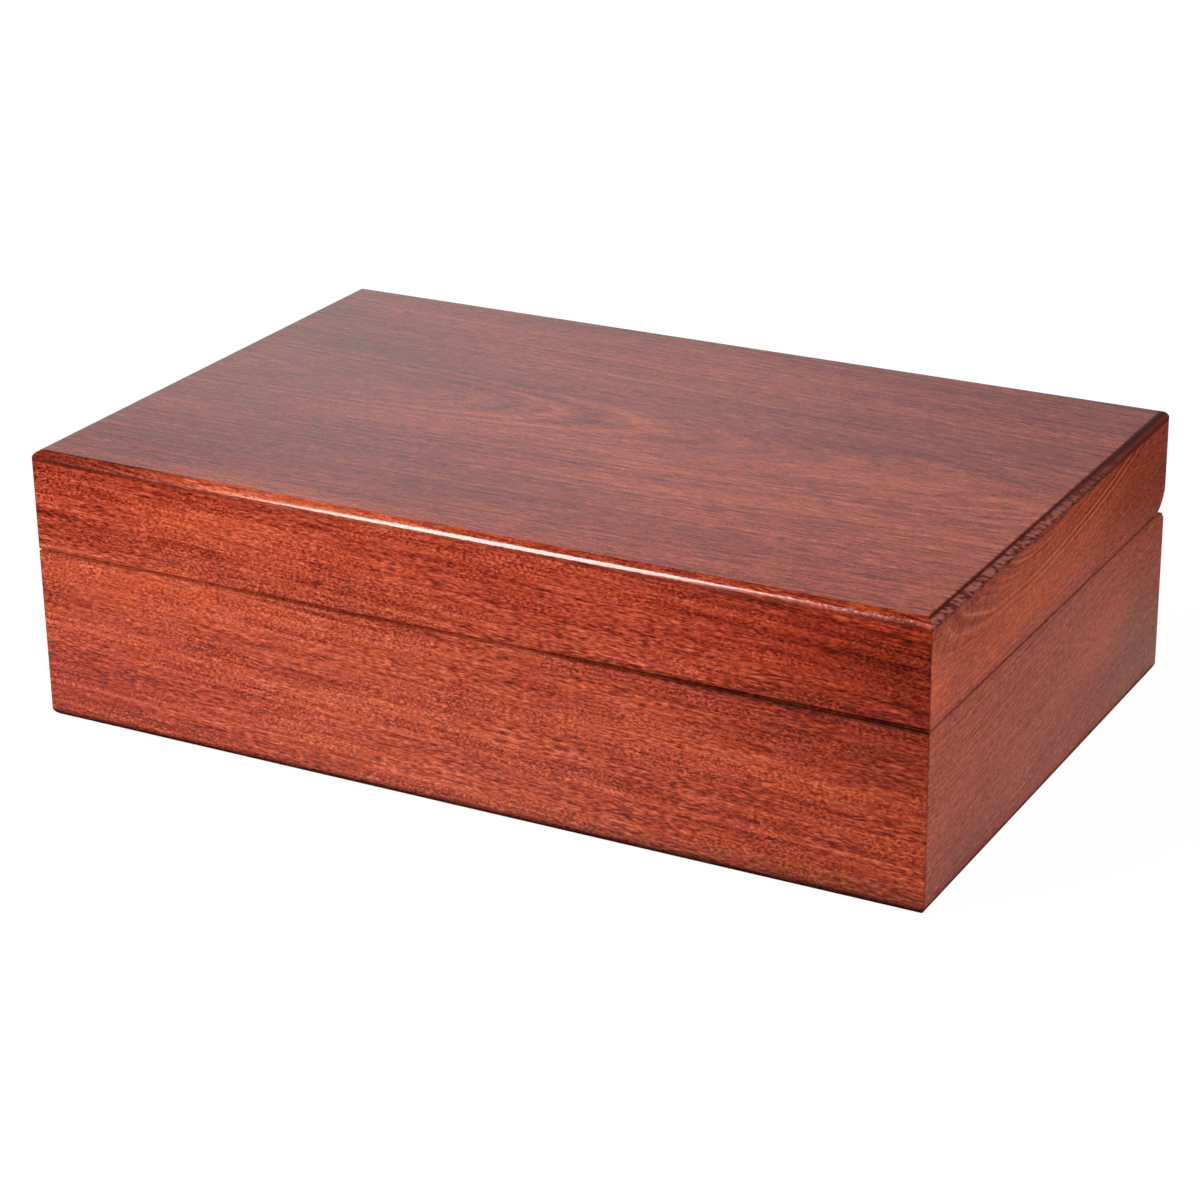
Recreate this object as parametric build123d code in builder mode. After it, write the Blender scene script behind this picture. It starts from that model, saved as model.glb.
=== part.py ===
from build123d import *
import os

# Tea chest with a hinged lid, eight compartments and two brass butt hinges.
# Millimetres. The origin is at the middle of the underside, +X runs along the
# length, the front faces -Y and +Z is up.

os.makedirs("parts", exist_ok=True)

# Overall size
length = 340.0
depth = 216.0
height = 101.6
wall = 13.0

# Where the lid meets the base
seam_level = 64.5
seam_gap = 0.3
seam_ease = 0.3
front_ease = 0.8
rim_ease = 0.4

# Rounded edges
corner_round = 0.5
foot_round = 4.0
top_round = 3.2
base_back_round = 6.5
lid_back_round = 10.5

# Panels
top_thickness = 3.6
bottom_thickness = 4.0
bottom_rise = 4.0
groove_depth = 5.0
panel_play = 0.15

# Dividers
divider_thickness = 5.0
divider_height = 52.0
divider_ease = 0.8
divider_play = 0.2
slot_play = 0.1
cross_count = 3

# Hinges
hinge_spacing = 200.0
hinge_length = 32.0
hinge_inset = 4.5
leaf_thickness = 1.2
leaf_reach = 7.0
leaf_corner = 0.6
barrel_radius = 2.2
barrel_play = 0.4
barrel_ease = 0.2
knuckle_count = 5
knuckle_gap = 0.3
pin_radius = 1.0
pin_ease = 0.25
pin_hold_play = 0.01
pin_turn_play = 0.05
mortise_play = 0.1

# Screws of the hinges
screw_radius = 1.0
screw_length = 8.0
screw_tip = 1.6
screw_head_radius = 1.7
screw_spacing = 20.0
screw_reach = 4.7
screw_play = 0.05
slot_width = 0.5
slot_depth = 0.4

# Sizes that follow from the ones above
base_top = seam_level - seam_gap / 2
lid_bottom = seam_level + seam_gap / 2
rail_top = height - top_thickness
lid_middle = (lid_bottom + height) / 2
inner_length = length - 2 * wall
inner_depth = depth - 2 * wall
floor_level = bottom_rise + bottom_thickness
pin_y = depth / 2 - hinge_inset
mortise_floor = base_top - leaf_thickness
mortise_roof = lid_bottom + leaf_thickness
pocket_radius = barrel_radius + barrel_play
cross_pitch = (inner_length - cross_count * divider_thickness) / (cross_count + 1) + divider_thickness
slot_size = divider_thickness + 2 * slot_play
half_height = divider_height / 2
knuckle_length = (hinge_length - (knuckle_count - 1) * knuckle_gap) / knuckle_count
knuckle_pitch = knuckle_length + knuckle_gap
leaf_start = pocket_radius
screw_y = pin_y - screw_reach
screw_cone = screw_head_radius - screw_radius

# The four mitred sectors that the walls and rails are cut from
front_sector = [
    (-length / 2, -depth / 2),
    (length / 2, -depth / 2),
    (length / 2 - depth / 2, 0),
    (-length / 2 + depth / 2, 0),
]
back_sector = [
    (length / 2, depth / 2),
    (-length / 2, depth / 2),
    (-length / 2 + depth / 2, 0),
    (length / 2 - depth / 2, 0),
]
right_sector = [
    (length / 2, -depth / 2),
    (length / 2, depth / 2),
    (length / 2 - depth / 2, 0),
]
left_sector = [
    (-length / 2, depth / 2),
    (-length / 2, -depth / 2),
    (-length / 2 + depth / 2, 0),
]

# Where the hinges and their screws stand
hinge_spots = [(-hinge_spacing / 2, pin_y), (hinge_spacing / 2, pin_y)]
screw_spots = [
    (side * hinge_spacing / 2 + end * screw_spacing / 2, screw_y)
    for side in (-1, 1)
    for end in (-1, 1)
]


def on_inner_side(edge):
    """True for an edge on the inner faces of the walls, not on the outer ones."""
    middle = edge.center()
    return abs(middle.X) < (inner_length + wall) / 2 and abs(middle.Y) < (inner_depth + wall) / 2


# Base block: side profile, front profile and plan, then the hollow and the groove
with BuildPart() as base_block:
    with BuildSketch(Plane.YZ) as base_side:
        with Locations((0, base_top / 2)):
            Rectangle(depth, base_top)
        fillet(base_side.vertices().group_by(Axis.Y)[0], foot_round)
        fillet(base_side.vertices().group_by(Axis.Y)[-1].sort_by(Axis.X)[-1], base_back_round)
        chamfer(base_side.vertices().group_by(Axis.Y)[-1].sort_by(Axis.X)[0], seam_ease)
    extrude(amount=length / 2, both=True)
    with BuildSketch(Plane.XZ) as base_face:
        with Locations((0, base_top / 2)):
            Rectangle(length, base_top)
        fillet(base_face.vertices().group_by(Axis.Y)[0], foot_round)
        chamfer(base_face.vertices().group_by(Axis.Y)[-1], seam_ease)
    extrude(amount=depth / 2, both=True, mode=Mode.INTERSECT)
    with BuildSketch() as base_plan:
        RectangleRounded(length, depth, corner_round)
    extrude(amount=base_top, mode=Mode.INTERSECT)
    with BuildSketch() as base_hollow:
        Rectangle(inner_length, inner_depth)
    extrude(amount=base_top, mode=Mode.SUBTRACT)
    with BuildSketch(Plane.XY.offset(bottom_rise)) as base_groove:
        Rectangle(inner_length + 2 * groove_depth, inner_depth + 2 * groove_depth)
    extrude(amount=bottom_thickness + panel_play, mode=Mode.SUBTRACT)
    base_rim = base_block.edges().filter_by_position(Axis.Z, base_top, base_top)
    chamfer(base_rim.filter_by(on_inner_side), rim_ease)

# Lid block: the same three views, still solid
with BuildPart() as lid_block:
    with BuildSketch(Plane.YZ) as lid_side:
        with Locations((0, lid_middle)):
            Rectangle(depth, height - lid_bottom)
        fillet(lid_side.vertices().group_by(Axis.Y)[-1], top_round)
        fillet(lid_side.vertices().group_by(Axis.Y)[0].sort_by(Axis.X)[-1], lid_back_round)
        chamfer(lid_side.vertices().group_by(Axis.Y)[0].sort_by(Axis.X)[0], front_ease)
    extrude(amount=length / 2, both=True)
    with BuildSketch(Plane.XZ) as lid_face:
        with Locations((0, lid_middle)):
            Rectangle(length, height - lid_bottom)
        fillet(lid_face.vertices().group_by(Axis.Y)[-1], top_round)
        chamfer(lid_face.vertices().group_by(Axis.Y)[0], seam_ease)
    extrude(amount=depth / 2, both=True, mode=Mode.INTERSECT)
    with BuildSketch(Plane.XY.offset(lid_bottom)) as lid_plan:
        RectangleRounded(length, depth, corner_round)
    extrude(amount=height - lid_bottom, mode=Mode.INTERSECT)

# Lid frame: the lid block below the top panel, with its hollow
with BuildPart() as lid_frame:
    add(lid_block.part)
    with BuildSketch(Plane.XY.offset(rail_top)) as above_rails:
        Rectangle(length, depth)
    extrude(amount=top_thickness, mode=Mode.SUBTRACT)
    with BuildSketch(Plane.XY.offset(lid_bottom)) as lid_hollow:
        Rectangle(inner_length, inner_depth)
    extrude(amount=rail_top - lid_bottom, mode=Mode.SUBTRACT)
    lid_rim = lid_frame.edges().filter_by_position(Axis.Z, lid_bottom, lid_bottom)
    chamfer(lid_rim.filter_by(on_inner_side), rim_ease)

# Walls of the base
with BuildPart() as base_front_wall:
    add(base_block.part)
    with BuildSketch() as base_front_cut:
        Polygon(*front_sector, align=None)
    extrude(amount=base_top, mode=Mode.INTERSECT)
base_front_wall.part.label = "base_front_wall"

with BuildPart() as base_left_wall:
    add(base_block.part)
    with BuildSketch() as base_left_cut:
        Polygon(*left_sector, align=None)
    extrude(amount=base_top, mode=Mode.INTERSECT)
base_left_wall.part.label = "base_left_wall"

with BuildPart() as base_right_wall:
    add(base_block.part)
    with BuildSketch() as base_right_cut:
        Polygon(*right_sector, align=None)
    extrude(amount=base_top, mode=Mode.INTERSECT)
base_right_wall.part.label = "base_right_wall"

# Back wall of the base, with the hinge mortises, barrel pockets and screw holes
with BuildPart() as base_back_wall:
    add(base_block.part)
    with BuildSketch() as base_back_cut:
        Polygon(*back_sector, align=None)
    extrude(amount=base_top, mode=Mode.INTERSECT)
    with BuildSketch(Plane.XY.offset(mortise_floor)) as base_mortises:
        with Locations(*hinge_spots):
            Rectangle(
                hinge_length + 2 * mortise_play,
                leaf_reach + mortise_play,
                align=(Align.CENTER, Align.MAX),
            )
    extrude(amount=leaf_thickness, mode=Mode.SUBTRACT)
    with Locations(*[(x, y, seam_level) for x, y in hinge_spots]):
        Cylinder(
            pocket_radius,
            hinge_length + 2 * mortise_play,
            rotation=(0, 90, 0),
            mode=Mode.SUBTRACT,
        )
    with BuildSketch(Plane.XY.offset(mortise_floor)) as base_pilots:
        with Locations(*screw_spots):
            Circle(screw_radius + screw_play)
    extrude(amount=-(screw_length - leaf_thickness + screw_play), mode=Mode.SUBTRACT)
base_back_wall.part.label = "base_back_wall"

# Bottom panel, held in the groove of the four walls
with BuildPart() as base_bottom_panel:
    with BuildSketch(Plane.XY.offset(bottom_rise)) as bottom_outline:
        Rectangle(
            inner_length + 2 * groove_depth - 2 * panel_play,
            inner_depth + 2 * groove_depth - 2 * panel_play,
        )
    extrude(amount=bottom_thickness)
base_bottom_panel.part.label = "base_bottom_panel"

# Long divider, with slots from the top for the cross dividers
with BuildPart() as long_divider:
    with BuildSketch(Plane.XY.offset(floor_level)) as long_outline:
        Rectangle(inner_length - 2 * divider_play, divider_thickness)
    extrude(amount=divider_height)
    chamfer(long_divider.edges().group_by(Axis.Z)[-1].filter_by(Axis.X), divider_ease)
    with BuildSketch(Plane.XY.offset(floor_level + half_height)) as long_slots:
        with GridLocations(cross_pitch, 0, cross_count, 1):
            Rectangle(slot_size, divider_thickness)
    extrude(amount=half_height, mode=Mode.SUBTRACT)
long_divider.part.label = "long_divider"

# Cross dividers, with one slot each from below
with BuildPart() as cross_divider_middle:
    with BuildSketch(Plane.XY.offset(floor_level)) as cross_outline:
        Rectangle(divider_thickness, inner_depth - 2 * divider_play)
    extrude(amount=divider_height)
    chamfer(cross_divider_middle.edges().group_by(Axis.Z)[-1].filter_by(Axis.Y), divider_ease)
    with BuildSketch(Plane.XY.offset(floor_level)) as cross_slot:
        Rectangle(divider_thickness, slot_size)
    extrude(amount=half_height + slot_play, mode=Mode.SUBTRACT)
cross_divider_middle.part.label = "cross_divider_middle"

with BuildPart() as cross_divider_left:
    with Locations((-cross_pitch, 0, 0)):
        add(cross_divider_middle.part)
cross_divider_left.part.label = "cross_divider_left"

with BuildPart() as cross_divider_right:
    with Locations((cross_pitch, 0, 0)):
        add(cross_divider_middle.part)
cross_divider_right.part.label = "cross_divider_right"

# Rails of the lid
with BuildPart() as lid_front_rail:
    add(lid_frame.part)
    with BuildSketch(Plane.XY.offset(lid_bottom)) as lid_front_cut:
        Polygon(*front_sector, align=None)
    extrude(amount=rail_top - lid_bottom, mode=Mode.INTERSECT)
lid_front_rail.part.label = "lid_front_rail"

with BuildPart() as lid_left_rail:
    add(lid_frame.part)
    with BuildSketch(Plane.XY.offset(lid_bottom)) as lid_left_cut:
        Polygon(*left_sector, align=None)
    extrude(amount=rail_top - lid_bottom, mode=Mode.INTERSECT)
lid_left_rail.part.label = "lid_left_rail"

with BuildPart() as lid_right_rail:
    add(lid_frame.part)
    with BuildSketch(Plane.XY.offset(lid_bottom)) as lid_right_cut:
        Polygon(*right_sector, align=None)
    extrude(amount=rail_top - lid_bottom, mode=Mode.INTERSECT)
lid_right_rail.part.label = "lid_right_rail"

# Back rail of the lid, with the hinge mortises, barrel pockets and screw holes
with BuildPart() as lid_back_rail:
    add(lid_frame.part)
    with BuildSketch(Plane.XY.offset(lid_bottom)) as lid_back_cut:
        Polygon(*back_sector, align=None)
    extrude(amount=rail_top - lid_bottom, mode=Mode.INTERSECT)
    with BuildSketch(Plane.XY.offset(lid_bottom)) as lid_mortises:
        with Locations(*hinge_spots):
            Rectangle(
                hinge_length + 2 * mortise_play,
                leaf_reach + mortise_play,
                align=(Align.CENTER, Align.MAX),
            )
    extrude(amount=leaf_thickness, mode=Mode.SUBTRACT)
    with Locations(*[(x, y, seam_level) for x, y in hinge_spots]):
        Cylinder(
            pocket_radius,
            hinge_length + 2 * mortise_play,
            rotation=(0, 90, 0),
            mode=Mode.SUBTRACT,
        )
    with BuildSketch(Plane.XY.offset(mortise_roof)) as lid_pilots:
        with Locations(*screw_spots):
            Circle(screw_radius + screw_play)
    extrude(amount=screw_length - leaf_thickness + screw_play, mode=Mode.SUBTRACT)
lid_back_rail.part.label = "lid_back_rail"

# Top panel, laid over the rails with its edges rounded
with BuildPart() as lid_top_panel:
    add(lid_block.part)
    with BuildSketch(Plane.XY.offset(rail_top)) as top_slab:
        Rectangle(length, depth)
    extrude(amount=top_thickness, mode=Mode.INTERSECT)
lid_top_panel.part.label = "lid_top_panel"

# One knuckle of a hinge barrel, lying along X, with its ends eased
with BuildPart() as knuckle:
    Cylinder(barrel_radius, knuckle_length, rotation=(0, 90, 0))
    chamfer(knuckle.edges().filter_by(GeomType.CIRCLE), barrel_ease)

# Base leaf at the left: the plate, the outer and middle knuckles and the screw holes
with BuildPart() as left_hinge_base_leaf:
    with BuildSketch(Plane.XY.offset(mortise_floor)) as base_plate:
        with Locations((-hinge_spacing / 2, pin_y - leaf_start)):
            Rectangle(hinge_length, leaf_reach - leaf_start, align=(Align.CENTER, Align.MAX))
        fillet(base_plate.vertices().group_by(Axis.Y)[0], leaf_corner)
        with Locations((-hinge_spacing / 2, pin_y - leaf_start / 2)):
            with GridLocations(2 * knuckle_pitch, 0, 3, 1):
                Rectangle(knuckle_length, leaf_start)
    extrude(amount=leaf_thickness)
    with Locations((-hinge_spacing / 2, pin_y, seam_level)):
        with GridLocations(2 * knuckle_pitch, 0, 3, 1):
            add(knuckle.part)
        Cylinder(
            pin_radius + pin_hold_play,
            hinge_length,
            rotation=(0, 90, 0),
            mode=Mode.SUBTRACT,
        )
    with Locations((-hinge_spacing / 2, screw_y, base_top)):
        with GridLocations(screw_spacing, 0, 2, 1):
            CounterSinkHole(
                screw_radius + screw_play,
                screw_head_radius + screw_play,
                leaf_thickness,
                90,
            )
left_hinge_base_leaf.part.label = "left_hinge_base_leaf"

# Lid leaf at the left: the plate, the two knuckles between and the screw holes
with BuildPart() as left_hinge_lid_leaf:
    with BuildSketch(Plane.XY.offset(lid_bottom)) as lid_plate:
        with Locations((-hinge_spacing / 2, pin_y - leaf_start)):
            Rectangle(hinge_length, leaf_reach - leaf_start, align=(Align.CENTER, Align.MAX))
        fillet(lid_plate.vertices().group_by(Axis.Y)[0], leaf_corner)
        with Locations((-hinge_spacing / 2, pin_y - leaf_start / 2)):
            with GridLocations(2 * knuckle_pitch, 0, 2, 1):
                Rectangle(knuckle_length, leaf_start)
    extrude(amount=leaf_thickness)
    with Locations((-hinge_spacing / 2, pin_y, seam_level)):
        with GridLocations(2 * knuckle_pitch, 0, 2, 1):
            add(knuckle.part)
        Cylinder(
            pin_radius + pin_turn_play,
            hinge_length,
            rotation=(0, 90, 0),
            mode=Mode.SUBTRACT,
        )
    with Locations(Location((-hinge_spacing / 2, screw_y, lid_bottom), (180, 0, 0))):
        with GridLocations(screw_spacing, 0, 2, 1):
            CounterSinkHole(
                screw_radius + screw_play,
                screw_head_radius + screw_play,
                leaf_thickness,
                90,
            )
left_hinge_lid_leaf.part.label = "left_hinge_lid_leaf"

# Pin at the left, through all the knuckles
with BuildPart() as left_hinge_pin:
    with Locations((-hinge_spacing / 2, pin_y, seam_level)):
        Cylinder(pin_radius, hinge_length, rotation=(0, 90, 0))
    chamfer(left_hinge_pin.edges().filter_by(GeomType.CIRCLE), pin_ease)
left_hinge_pin.part.label = "left_hinge_pin"

# The hinge at the right repeats the one at the left
with BuildPart() as right_hinge_base_leaf:
    with Locations((hinge_spacing, 0, 0)):
        add(left_hinge_base_leaf.part)
right_hinge_base_leaf.part.label = "right_hinge_base_leaf"

with BuildPart() as right_hinge_lid_leaf:
    with Locations((hinge_spacing, 0, 0)):
        add(left_hinge_lid_leaf.part)
right_hinge_lid_leaf.part.label = "right_hinge_lid_leaf"

with BuildPart() as right_hinge_pin:
    with Locations((hinge_spacing, 0, 0)):
        add(left_hinge_pin.part)
right_hinge_pin.part.label = "right_hinge_pin"

# One countersunk screw, with its head at the origin and its point below
with BuildPart() as screw:
    with BuildSketch(Plane.XZ) as screw_side:
        with BuildLine() as screw_line:
            Polyline(
                (0, 0),
                (screw_head_radius, 0),
                (screw_radius, -screw_cone),
                (screw_radius, -screw_length + screw_tip),
                (0, -screw_length),
                close=True,
            )
        make_face()
    revolve(axis=Axis.Z)
    with BuildSketch() as driver_slot:
        Rectangle(2 * screw_head_radius, slot_width)
    extrude(amount=-slot_depth, mode=Mode.SUBTRACT)

# Screws of the base leaves
with BuildPart() as base_hinge_screws:
    with Locations(*[(x, y, base_top) for x, y in screw_spots]):
        add(screw.part)
base_hinge_screws.part.label = "base_hinge_screws"

# Screws of the lid leaves, pointing up
with BuildPart() as lid_hinge_screws:
    with Locations(*[Location((x, y, lid_bottom), (180, 0, 0)) for x, y in screw_spots]):
        add(screw.part)
lid_hinge_screws.part.label = "lid_hinge_screws"

export_step(base_front_wall.part, "parts/base_front_wall.step")
export_step(base_back_wall.part, "parts/base_back_wall.step")
export_step(base_left_wall.part, "parts/base_left_wall.step")
export_step(base_right_wall.part, "parts/base_right_wall.step")
export_step(base_bottom_panel.part, "parts/base_bottom_panel.step")
export_step(long_divider.part, "parts/long_divider.step")
export_step(cross_divider_left.part, "parts/cross_divider_left.step")
export_step(cross_divider_middle.part, "parts/cross_divider_middle.step")
export_step(cross_divider_right.part, "parts/cross_divider_right.step")
export_step(lid_front_rail.part, "parts/lid_front_rail.step")
export_step(lid_back_rail.part, "parts/lid_back_rail.step")
export_step(lid_left_rail.part, "parts/lid_left_rail.step")
export_step(lid_right_rail.part, "parts/lid_right_rail.step")
export_step(lid_top_panel.part, "parts/lid_top_panel.step")
export_step(left_hinge_base_leaf.part, "parts/left_hinge_base_leaf.step")
export_step(left_hinge_lid_leaf.part, "parts/left_hinge_lid_leaf.step")
export_step(left_hinge_pin.part, "parts/left_hinge_pin.step")
export_step(right_hinge_base_leaf.part, "parts/right_hinge_base_leaf.step")
export_step(right_hinge_lid_leaf.part, "parts/right_hinge_lid_leaf.step")
export_step(right_hinge_pin.part, "parts/right_hinge_pin.step")
export_step(base_hinge_screws.part, "parts/base_hinge_screws.step")
export_step(lid_hinge_screws.part, "parts/lid_hinge_screws.step")
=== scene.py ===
import math

import bpy
from bpy.props import FloatProperty, FloatVectorProperty, IntProperty, PointerProperty
from mathutils import Euler, Matrix, Vector


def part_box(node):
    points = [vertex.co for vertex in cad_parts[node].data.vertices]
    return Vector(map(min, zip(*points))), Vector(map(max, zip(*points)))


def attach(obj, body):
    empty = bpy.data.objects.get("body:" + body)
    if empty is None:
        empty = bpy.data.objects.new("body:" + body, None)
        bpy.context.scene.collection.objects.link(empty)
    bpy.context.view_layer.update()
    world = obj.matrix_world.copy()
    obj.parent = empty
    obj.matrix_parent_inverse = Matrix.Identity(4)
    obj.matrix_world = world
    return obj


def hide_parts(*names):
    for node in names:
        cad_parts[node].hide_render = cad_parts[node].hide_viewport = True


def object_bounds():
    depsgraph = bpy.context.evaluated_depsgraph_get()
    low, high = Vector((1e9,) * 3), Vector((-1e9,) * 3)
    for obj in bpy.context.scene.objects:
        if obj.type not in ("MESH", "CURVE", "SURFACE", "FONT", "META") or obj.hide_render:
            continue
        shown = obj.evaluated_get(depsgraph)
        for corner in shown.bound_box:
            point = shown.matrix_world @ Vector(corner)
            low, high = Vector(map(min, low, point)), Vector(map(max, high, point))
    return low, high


bl_info = {
    "name": "Tea chest",
    "version": (1, 0, 0),
    "blender": (4, 5, 0),
    "location": "3D View > Sidebar > Tea chest",
    "description": "Finishes a stained and lacquered tea chest around its built frame",
    "category": "Object",
}

# The built frame: every board, hinge and pin in its place, in metres
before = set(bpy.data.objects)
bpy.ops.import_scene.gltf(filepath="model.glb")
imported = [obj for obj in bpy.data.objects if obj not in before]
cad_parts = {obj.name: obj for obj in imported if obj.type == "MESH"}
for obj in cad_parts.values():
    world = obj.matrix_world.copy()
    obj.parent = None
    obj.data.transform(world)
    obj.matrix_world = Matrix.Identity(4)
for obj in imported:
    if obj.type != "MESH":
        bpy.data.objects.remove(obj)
cad_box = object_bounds()
mm = 0.001


def linear(written):
    """A written sRGB colour such as #b3503b, as linear red, green, blue and alpha."""
    channels = [int(written[i:i + 2], 16) / 255 for i in (1, 3, 5)]
    return (*[c / 12.92 if c <= 0.04045 else ((c + 0.055) / 1.055) ** 2.4 for c in channels], 1.0)


def colour_setting(name, written, description):
    """A colour that the sidebar shows, from its written sRGB value."""
    return FloatVectorProperty(
        name=name, description=description, subtype="COLOR", size=4, min=0, max=1,
        default=linear(written),
    )


def length_setting(name, default, description):
    """A length that the sidebar shows, in metres."""
    return FloatProperty(
        name=name, description=description, subtype="DISTANCE", unit="LENGTH", precision=5, min=0,
        default=default,
    )


class TeaChestWood(bpy.types.PropertyGroup):
    """Colours and grain of the stained boards."""

    pore: colour_setting("Pore", "#4a1206", "Stain gathered in the open pores")
    dark: colour_setting("Dark fleck", "#8c2a16", "Stain in the dense dark flecks")
    body: colour_setting("Body", "#b64a31", "The stained wood between the flecks")
    light: colour_setting("Light fleck", "#d36344", "The flecks that took little stain")
    bright: colour_setting("Brightest fleck", "#ef865f", "The few flecks that stayed pale")
    fleck_length: length_setting("Fleck length", 1.5 * mm, "Length of a fleck along the grain")
    fleck_width: length_setting("Fleck width", 0.62 * mm, "Width of a fleck across the grain")
    streak_length: length_setting("Streak length", 160 * mm, "Length of a fine streak along the grain")
    ring_width: length_setting("Ring width", 1.9 * mm, "Distance between two growth rings")
    # Partly painted shade: this colour also darkens the seam's gap and the foot's round, where shade falls
    stain_and_shade_line: colour_setting("Stain line", "#2a0b06", "Stain that gathered along the eased edges")
    end_grain: colour_setting("End grain", "#6a2014", "End grain, which drank more of the stain")
    end_fleck: colour_setting("End grain fleck", "#bc6c5c", "Pale flecks of the end grain")
    lacquer_roughness: FloatProperty(
        name="Lacquer roughness", description="How dull the lacquer is", min=0, max=1, default=0.13
    )


class TeaChestBrass(bpy.types.PropertyGroup):
    """Colour of the hinges and sizes of their screws."""

    brass: colour_setting("Brass", "#d8b25c", "Polished brass of the leaves, pins and screws")
    tarnish: colour_setting("Tarnish", "#8a6a34", "Brass where the polish doesn't reach")
    head_radius: length_setting("Head radius", 1.7 * mm, "Radius of the countersunk head")
    shank_radius: length_setting("Shank radius", 1.0 * mm, "Radius over the thread")
    screw_length: length_setting("Screw length", 8.0 * mm, "From the head's face to the point")
    tip_length: length_setting("Tip length", 1.6 * mm, "Length of the tapered point")
    thread_pitch: length_setting("Thread pitch", 0.8 * mm, "Distance between two turns of the thread")
    thread_depth: length_setting("Thread depth", 0.22 * mm, "How deep the thread is cut")
    slot_width: length_setting("Slot width", 0.5 * mm, "Width of the driver slot")
    slot_depth: length_setting("Slot depth", 0.4 * mm, "Depth of the driver slot")
    screw_spacing: length_setting("Screw spacing", 20.0 * mm, "Distance between the two screws of a leaf")
    sides: IntProperty(
        name="Sides", description="Sides of a screw's round section", min=12, max=96, default=48
    )


class TeaChestStage(bpy.types.PropertyGroup):
    """Floor, lamps and camera of the studio."""

    floor: colour_setting("Floor", "#e6e6e6", "Paper of the floor")
    floor_size: length_setting("Floor size", 8.0, "Side of the square floor")
    ambient: FloatProperty(name="Room light", description="Even light from all round", min=0, default=0.24)
    key_power: FloatProperty(
        name="Softbox power", description="Lamp at the front left, in watts", min=0, default=6.8
    )
    fill_power: FloatProperty(
        name="Fill power", description="Lamp at the front right, in watts", min=0, default=9.5
    )
    back_power: FloatProperty(
        name="Back power", description="Lamp at the back left, in watts", min=0, default=5.0
    )
    strip_power: FloatProperty(
        name="Strip power", description="Lamp that only the lacquer mirrors, in watts", min=0, default=9.5
    )
    lens: FloatProperty(
        name="Lens", description="Focal length on a 36 mm sensor", unit="CAMERA", default=98.22
    )


def add_node(tree, kind, inputs=None, **settings):
    """Add a node with its settings. An input takes a value, or the socket that feeds it."""
    node = tree.nodes.new(kind)
    for name, value in settings.items():
        setattr(node, name, value)
    for key, value in (inputs or {}).items():
        if isinstance(value, bpy.types.NodeSocket):
            tree.links.new(value, node.inputs[key])
        else:
            node.inputs[key].default_value = value
    return node


# The figure of the wood

def scaled(tree, vector, along, across, shift=0.0):
    """A place on the board measured in features: so many mm along the grain and across it."""
    node = add_node(
        tree, "ShaderNodeVectorMath",
        {0: vector, 1: (1 / along, 1 / across, 1 / across), 2: (shift, shift, shift)},
        operation="MULTIPLY_ADD",
    )
    return node.outputs[0]


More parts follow.
